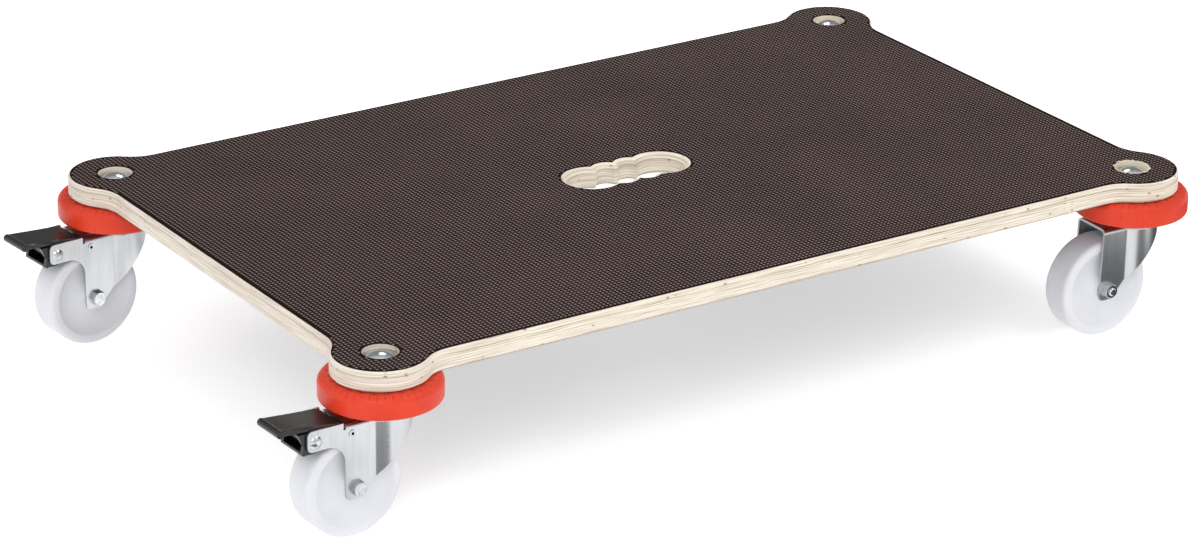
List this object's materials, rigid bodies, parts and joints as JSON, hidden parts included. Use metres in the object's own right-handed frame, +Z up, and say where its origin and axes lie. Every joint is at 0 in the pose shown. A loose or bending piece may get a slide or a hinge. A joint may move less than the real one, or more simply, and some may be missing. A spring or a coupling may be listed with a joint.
{
  "type": "transport dolly",
  "caption": "Flat plywood transport dolly with a non-slip deck, hand hole, round corner bumpers and swivel casters, those at one end with foot brakes.",
  "frame": {"origin": "on the floor, at the centre of the footprint box, pedals included", "axes": "+X along the long side of the deck, away from the braked casters; +Y to the left; +Z up"},
  "size_m": [1.0336, 0.622, 0.1655],
  "materials": {
    "plywood": "sanded pale plywood edge",
    "antislip_film": "dark brown phenolic film with a fine raised mesh",
    "smooth_film": "dark brown phenolic film, smooth",
    "bolt_zinc": "bright zinc plate",
    "bumper_plastic": "satin moulded plastic, orange-red",
    "race_steel": "plain bright steel",
    "fork_zinc": "zinc-plated pressed sheet",
    "wheel_polyamide": "white polyamide, satin",
    "bush_plastic": "grey bearing plastic",
    "pedal_plastic": "black moulded plastic, satin"
  },
  "bodies": {
    "deck": {"deck_core": "plywood", "deck_top_film": "antislip_film", "deck_bottom_film": "smooth_film", "deck_bolts": "bolt_zinc", "clamp_washers": "bolt_zinc", "clamp_nuts": "bolt_zinc", "bumper_rear_left": "bumper_plastic", "top_cup_rear_left": "race_steel", "swivel_sleeve_rear_left": "race_steel", "lower_cap_rear_left": "race_steel", "bumper_rear_right": "bumper_plastic", "top_cup_rear_right": "race_steel", "swivel_sleeve_rear_right": "race_steel", "lower_cap_rear_right": "race_steel", "bumper_front_right": "bumper_plastic", "top_cup_front_right": "race_steel", "swivel_sleeve_front_right": "race_steel", "lower_cap_front_right": "race_steel", "bumper_front_left": "bumper_plastic", "top_cup_front_left": "race_steel", "swivel_sleeve_front_left": "race_steel", "lower_cap_front_left": "race_steel"},
    "caster_rear_left": {"fork_rear_left": "fork_zinc", "swivel_balls_rear_left": "race_steel", "axle_sleeve_rear_left": "race_steel", "axle_bolt_rear_left": "bolt_zinc", "axle_nut_rear_left": "bolt_zinc", "pedal_pin_rear_left": "bolt_zinc", "shoe_pin_rear_left": "bolt_zinc"},
    "rolling_wheel_rear_left": {"wheel_rear_left": "wheel_polyamide", "wheel_bush_rear_left": "bush_plastic"},
    "brake_pedal_rear_left": {"pedal_rear_left": "pedal_plastic"},
    "brake_lever_rear_left": {"brake_shoe_rear_left": "race_steel"},
    "caster_rear_right": {"fork_rear_right": "fork_zinc", "swivel_balls_rear_right": "race_steel", "axle_sleeve_rear_right": "race_steel", "axle_bolt_rear_right": "bolt_zinc", "axle_nut_rear_right": "bolt_zinc", "pedal_pin_rear_right": "bolt_zinc", "shoe_pin_rear_right": "bolt_zinc"},
    "rolling_wheel_rear_right": {"wheel_rear_right": "wheel_polyamide", "wheel_bush_rear_right": "bush_plastic"},
    "brake_pedal_rear_right": {"pedal_rear_right": "pedal_plastic"},
    "brake_lever_rear_right": {"brake_shoe_rear_right": "race_steel"},
    "caster_front_right": {"fork_front_right": "fork_zinc", "swivel_balls_front_right": "race_steel", "axle_sleeve_front_right": "race_steel", "axle_bolt_front_right": "bolt_zinc", "axle_nut_front_right": "bolt_zinc"},
    "rolling_wheel_front_right": {"wheel_front_right": "wheel_polyamide", "wheel_bush_front_right": "bush_plastic"},
    "caster_front_left": {"fork_front_left": "fork_zinc", "swivel_balls_front_left": "race_steel", "axle_sleeve_front_left": "race_steel", "axle_bolt_front_left": "bolt_zinc", "axle_nut_front_left": "bolt_zinc"},
    "rolling_wheel_front_left": {"wheel_front_left": "wheel_polyamide", "wheel_bush_front_left": "bush_plastic"}
  },
  "joints": [
    {"name": "swivel_rear_left", "type": "hinge", "parent": "deck", "child": "caster_rear_left", "pos_m": [-0.39815, 0.254, 0.1145], "axis": [0, 0, 1], "continuous": true},
    {"name": "roll_rear_left", "type": "hinge", "parent": "caster_rear_left", "child": "rolling_wheel_rear_left", "pos_m": [-0.43602, 0.25082, 0.05], "axis": [0.0837, -0.9965, 0], "continuous": true},
    {"name": "pedal_rear_left", "type": "hinge", "parent": "caster_rear_left", "child": "brake_pedal_rear_left", "pos_m": [-0.47837, 0.24726, 0.1045], "axis": [0.0837, -0.9965, 0], "range_deg": [0, 26]},
    {"name": "shoe_rear_left", "type": "hinge", "parent": "caster_rear_left", "child": "brake_lever_rear_left", "pos_m": [-0.4412, 0.25039, 0.1043], "axis": [0.0837, -0.9965, 0], "range_deg": [-12, 0]},
    {"name": "swivel_rear_right", "type": "hinge", "parent": "deck", "child": "caster_rear_right", "pos_m": [-0.39815, -0.254, 0.1145], "axis": [0, 0, 1], "continuous": true},
    {"name": "roll_rear_right", "type": "hinge", "parent": "caster_rear_right", "child": "rolling_wheel_rear_right", "pos_m": [-0.43614, -0.25506, 0.05], "axis": [0.0279, -0.9996, 0], "continuous": true},
    {"name": "pedal_rear_right", "type": "hinge", "parent": "caster_rear_right", "child": "brake_pedal_rear_right", "pos_m": [-0.47862, -0.25625, 0.1045], "axis": [0.0279, -0.9996, 0], "range_deg": [0, 26]},
    {"name": "shoe_rear_right", "type": "hinge", "parent": "caster_rear_right", "child": "brake_lever_rear_right", "pos_m": [-0.44134, -0.25521, 0.1043], "axis": [0.0279, -0.9996, 0], "range_deg": [-12, 0]},
    {"name": "swivel_front_right", "type": "hinge", "parent": "deck", "child": "caster_front_right", "pos_m": [0.45985, -0.254, 0.1145], "axis": [0, 0, 1], "continuous": true},
    {"name": "roll_front_right", "type": "hinge", "parent": "caster_front_right", "child": "rolling_wheel_front_right", "pos_m": [0.42186, -0.25294, 0.05], "axis": [-0.0279, -0.9996, 0], "continuous": true},
    {"name": "swivel_front_left", "type": "hinge", "parent": "deck", "child": "caster_front_left", "pos_m": [0.45985, 0.254, 0.1145], "axis": [0, 0, 1], "continuous": true},
    {"name": "roll_front_left", "type": "hinge", "parent": "caster_front_left", "child": "rolling_wheel_front_left", "pos_m": [0.42187, 0.25267, 0.05], "axis": [0.0349, -0.9994, 0], "continuous": true}
  ],
  "couplings": [
    {"joint": "shoe_rear_left", "follows": "pedal_rear_left", "ratio": -0.46},
    {"joint": "shoe_rear_right", "follows": "pedal_rear_right", "ratio": -0.46}
  ]
}
